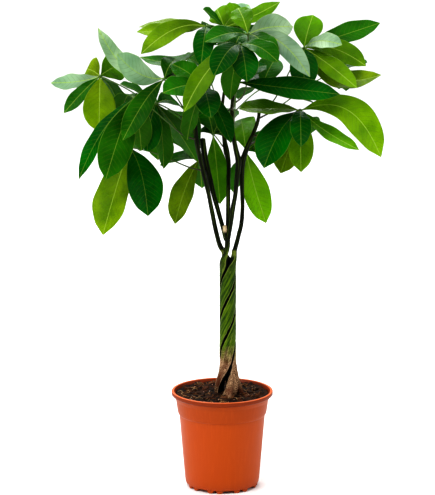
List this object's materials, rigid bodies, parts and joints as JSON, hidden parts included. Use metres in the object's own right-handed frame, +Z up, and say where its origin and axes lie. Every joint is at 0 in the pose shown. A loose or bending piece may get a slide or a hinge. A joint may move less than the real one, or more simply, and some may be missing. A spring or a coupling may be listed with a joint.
{
  "type": "potted money tree",
  "caption": "Potted money tree with three trunks twisted together, palmate leaves on thin stems, and a round plastic nursery pot filled with soil.",
  "frame": {"origin": "below the middle of the plant's bounding box, level with the flats that the pot's feet stand on", "axes": "+Z up along the trunk; -Y towards the front as pictured; +X to the right seen from the front"},
  "size_m": [0.6042, 0.531, 0.9058],
  "materials": {
    "terracotta_plastic": "satin, orange-brown",
    "soil_and_bark": "rough, dark brown",
    "green_bark": "dull, green to grey-brown",
    "leaf_green": "glossy above, duller below"
  },
  "bodies": {
    "root": {"pot": "terracotta_plastic", "soil": "soil_and_bark", "trunk_left": "green_bark", "trunk_middle": "green_bark", "trunk_right": "green_bark", "leaf_01": "leaf_green", "leaf_02": "leaf_green", "leaf_03": "leaf_green", "leaf_04": "leaf_green", "leaf_05": "leaf_green", "leaf_06": "leaf_green", "leaf_07": "leaf_green", "leaf_08": "leaf_green", "leaf_09": "leaf_green", "leaf_10": "leaf_green", "leaf_11": "leaf_green", "leaf_12": "leaf_green", "leaf_13": "leaf_green", "leaf_14": "leaf_green", "leaf_15": "leaf_green", "leaf_16": "leaf_green", "leaf_17": "leaf_green", "leaf_18": "leaf_green", "leaf_19": "leaf_green", "leaf_20": "leaf_green", "leaf_21": "leaf_green", "leaf_22": "leaf_green"}
  },
  "joints": []
}
